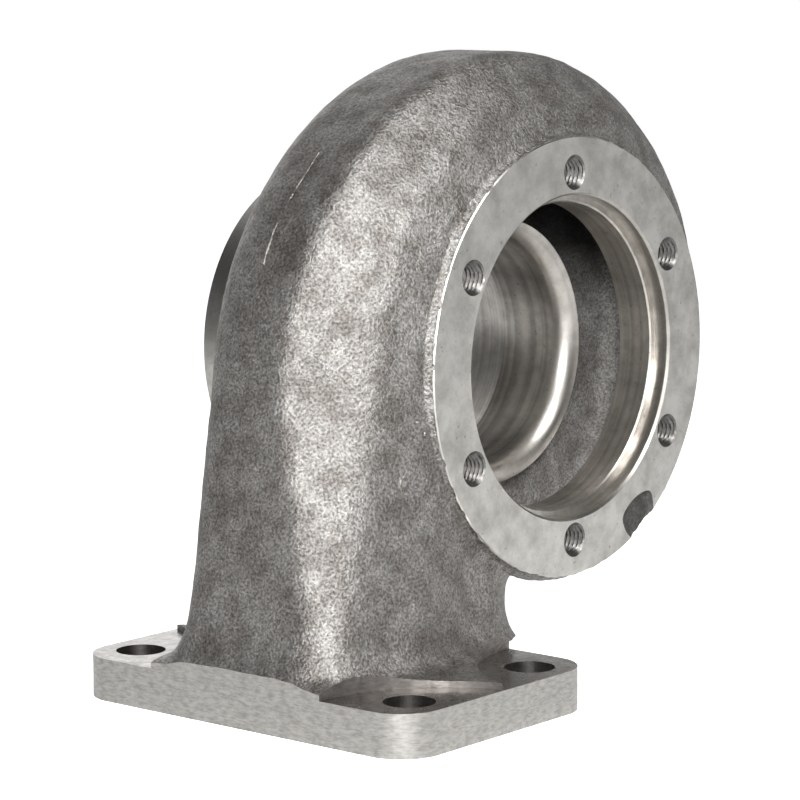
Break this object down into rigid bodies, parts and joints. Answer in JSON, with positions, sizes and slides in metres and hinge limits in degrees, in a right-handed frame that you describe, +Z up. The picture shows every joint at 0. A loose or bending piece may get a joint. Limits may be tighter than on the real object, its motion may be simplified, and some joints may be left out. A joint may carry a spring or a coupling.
{
  "type": "turbocharger turbine housing",
  "caption": "Cast volute housing for a turbine wheel, with a bolted inlet foot, a machined ring for the bearing housing and a clamp-flanged outlet.",
  "frame": {"origin": "centre of the inlet bolt pattern, on the underside of the foot", "axes": "X to the turbine axis's side, Y along the turbine axis towards the outlet, Z up from the foot into the neck"},
  "size_m": [0.1678, 0.1124, 0.1595],
  "materials": {
    "cast_iron": "as cast, with machined faces"
  },
  "bodies": {
    "root": {"turbine_housing": "cast_iron"}
  },
  "joints": []
}
